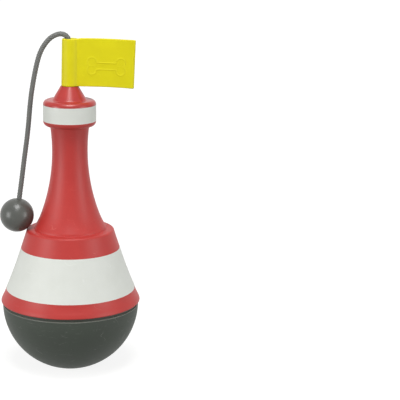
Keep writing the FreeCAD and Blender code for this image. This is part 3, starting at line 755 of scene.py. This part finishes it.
# Each lamp's name, its place, its width and height, and the setting that holds its power.
SOFT_BOXES = (
    ("soft_box_left", (-0.820, -0.473, 0.233), (0.42, 0.5), "left"),
    ("soft_box_right", (0.803, -0.502, 0.233), (0.42, 0.5), "right"),
    ("soft_box_top", (0.0, -0.294, 1.054), (0.45, 0.4), "top"),
    ("soft_box_front", (0.0, -0.585, 0.899), (0.22, 0.3), "front"),
)
LAMPS_FACE = (0.0, 0.0, 0.15)  # a point on the toy's axis
FLOOR_HALF = 9.0  # half the floor's side, far beyond what the camera sees


def soft_box(name, place, size, power):
    """A large lamp at a place that faces the toy."""
    data = bpy.data.lights.new(name, "AREA")
    data.shape = "RECTANGLE"
    data.size, data.size_y = size
    data.energy = power
    lamp = bpy.data.objects.new(name, data)
    bpy.context.scene.collection.objects.link(lamp)
    lamp.location = place
    ahead = Vector(LAMPS_FACE) - Vector(place)
    lamp.rotation_euler = ahead.to_track_quat("-Z", "Y").to_euler()


class StageOperator(bpy.types.Operator):
    """Sets the floor, the soft studio light and the camera at the photo's angle"""
    bl_idname = "treat_toy.stage"
    bl_label = "Stage"

    def execute(self, context):
        settings = context.scene.treat_toy_stage
        scene = context.scene
        scene.view_settings.view_transform = "Standard"
        self.floor()
        self.light(scene, settings)
        self.camera(scene, settings)
        return {"FINISHED"}

    def seen(self, tree):
        """One for rays from the camera, and for those that reflect or pass through to it."""
        path = add_node(tree, "ShaderNodeLightPath")
        mirrored = add_node(tree, "ShaderNodeMath", {"operation": "MAXIMUM"}, {
            0: path.outputs["Is Glossy Ray"], 1: path.outputs["Is Transmission Ray"]})
        return add_node(tree, "ShaderNodeMath", {"operation": "MAXIMUM"}, {
            0: path.outputs["Is Camera Ray"], 1: mirrored.outputs["Value"]}).outputs["Value"]

    def floor(self):
        """A level pale floor that the camera sees as white, but for the toy's own shadow."""
        material = bpy.data.materials.new("paper_pale")
        material.use_nodes = True
        tree = material.node_tree
        tree.nodes.clear()
        paper = add_node(tree, "ShaderNodeBsdfDiffuse", inputs={"Color": linear("#969694")})
        place = add_node(tree, "ShaderNodeTexCoord").outputs["Object"]
        away = add_node(tree, "ShaderNodeVectorMath", {"operation": "LENGTH"}, {0: place})
        # Far from the lamps the paper needs more of its own light to stay white
        fill = add_node(tree, "ShaderNodeMapRange", inputs={
            "Value": away.outputs["Value"], "From Min": 0.15, "From Max": 0.9,
            "To Min": 0.85, "To Max": 0.99})
        glow = add_node(tree, "ShaderNodeEmission", inputs={
            "Color": linear("#FFFFFF"), "Strength": fill.outputs["Result"]})
        dark = add_node(tree, "ShaderNodeEmission", inputs={"Strength": 0.0})
        extra = add_node(tree, "ShaderNodeMixShader", inputs={
            0: self.seen(tree), 1: dark.outputs["Emission"], 2: glow.outputs["Emission"]})
        both = add_node(tree, "ShaderNodeAddShader", inputs={
            0: paper.outputs["BSDF"], 1: extra.outputs["Shader"]})
        add_node(tree, "ShaderNodeOutputMaterial", inputs={"Surface": both.outputs["Shader"]})
        corners = FLOOR_HALF * np.array([[-1, -1, 0], [1, -1, 0], [1, 1, 0], [-1, 1, 0]], float)
        mesh_object("floor", corners, np.array([[0, 1, 2, 3]]), material)

    def light(self, scene, settings):
        """Even light from all round, and the soft boxes."""
        world = bpy.data.worlds.new("even_light")
        scene.world = world
        world.use_nodes = True
        tree = world.node_tree
        tree.nodes.clear()
        even = add_node(tree, "ShaderNodeBackground", inputs={
            "Color": linear("#FFFFFF"), "Strength": settings.sky})
        white = add_node(tree, "ShaderNodeBackground", inputs={
            "Color": linear("#FFFFFF"), "Strength": 1.0})
        shown = add_node(tree, "ShaderNodeMixShader", inputs={
            0: self.seen(tree), 1: even.outputs["Background"], 2: white.outputs["Background"]})
        add_node(tree, "ShaderNodeOutputWorld", inputs={"Surface": shown.outputs["Shader"]})
        for name, place, size, power in SOFT_BOXES:
            soft_box(name, place, size, getattr(settings, power))

    def camera(self, scene, settings):
        """The camera at its place, turned by yaw, then pitch, then roll."""
        pitch, yaw, roll = settings.camera_pitch, settings.camera_yaw, settings.camera_roll
        ahead = Vector((math.sin(yaw) * math.cos(pitch), math.cos(yaw) * math.cos(pitch),
                        -math.sin(pitch)))
        level = Vector((math.cos(yaw), -math.sin(yaw), 0.0))
        upright = level.cross(ahead)
        right = level * math.cos(roll) + upright * math.sin(roll)
        up = upright * math.cos(roll) - level * math.sin(roll)
        turned = Matrix((right, up, -ahead)).transposed()
        data = bpy.data.cameras.new("photo_camera")
        data.lens = settings.lens
        data.sensor_width = 36.0
        data.clip_end = 50.0
        camera = bpy.data.objects.new("photo_camera", data)
        scene.collection.objects.link(camera)
        camera.matrix_world = Matrix.Translation(settings.camera_place) @ turned.to_4x4()
        scene.camera = camera


class TreatToyPanel(bpy.types.Panel):
    bl_idname = "TREAT_TOY_PT_build"
    bl_label = "Treat toy"
    bl_space_type = "VIEW_3D"
    bl_region_type = "UI"
    bl_category = "Treat toy"

    def draw(self, context):
        for operator in OPERATORS:
            self.layout.operator(operator.bl_idname)


SETTINGS = {
    "treat_toy_cord": CordSettings,
    "treat_toy_flag": FlagSettings,
    "treat_toy_colours": ColourSettings,
    "treat_toy_stage": StageSettings,
}
OPERATORS = (StageOperator, CordOperator, FlagOperator, BowlOperator, TopOperator)


def register():
    for name, group in SETTINGS.items():
        bpy.utils.register_class(group)
        setattr(bpy.types.Scene, name, PointerProperty(type=group))
    for operator in OPERATORS:
        bpy.utils.register_class(operator)
    bpy.utils.register_class(TreatToyPanel)


def unregister():
    bpy.utils.unregister_class(TreatToyPanel)
    for operator in reversed(OPERATORS):
        bpy.utils.unregister_class(operator)
    for name, group in reversed(SETTINGS.items()):
        delattr(bpy.types.Scene, name)
        bpy.utils.unregister_class(group)


def main():
    register()
    bpy.ops.treat_toy.stage()
    bpy.ops.treat_toy.cord()
    bpy.ops.treat_toy.flag()
    bpy.ops.treat_toy.bowl()
    bpy.ops.treat_toy.top()


if __name__ == "__main__":
    main()
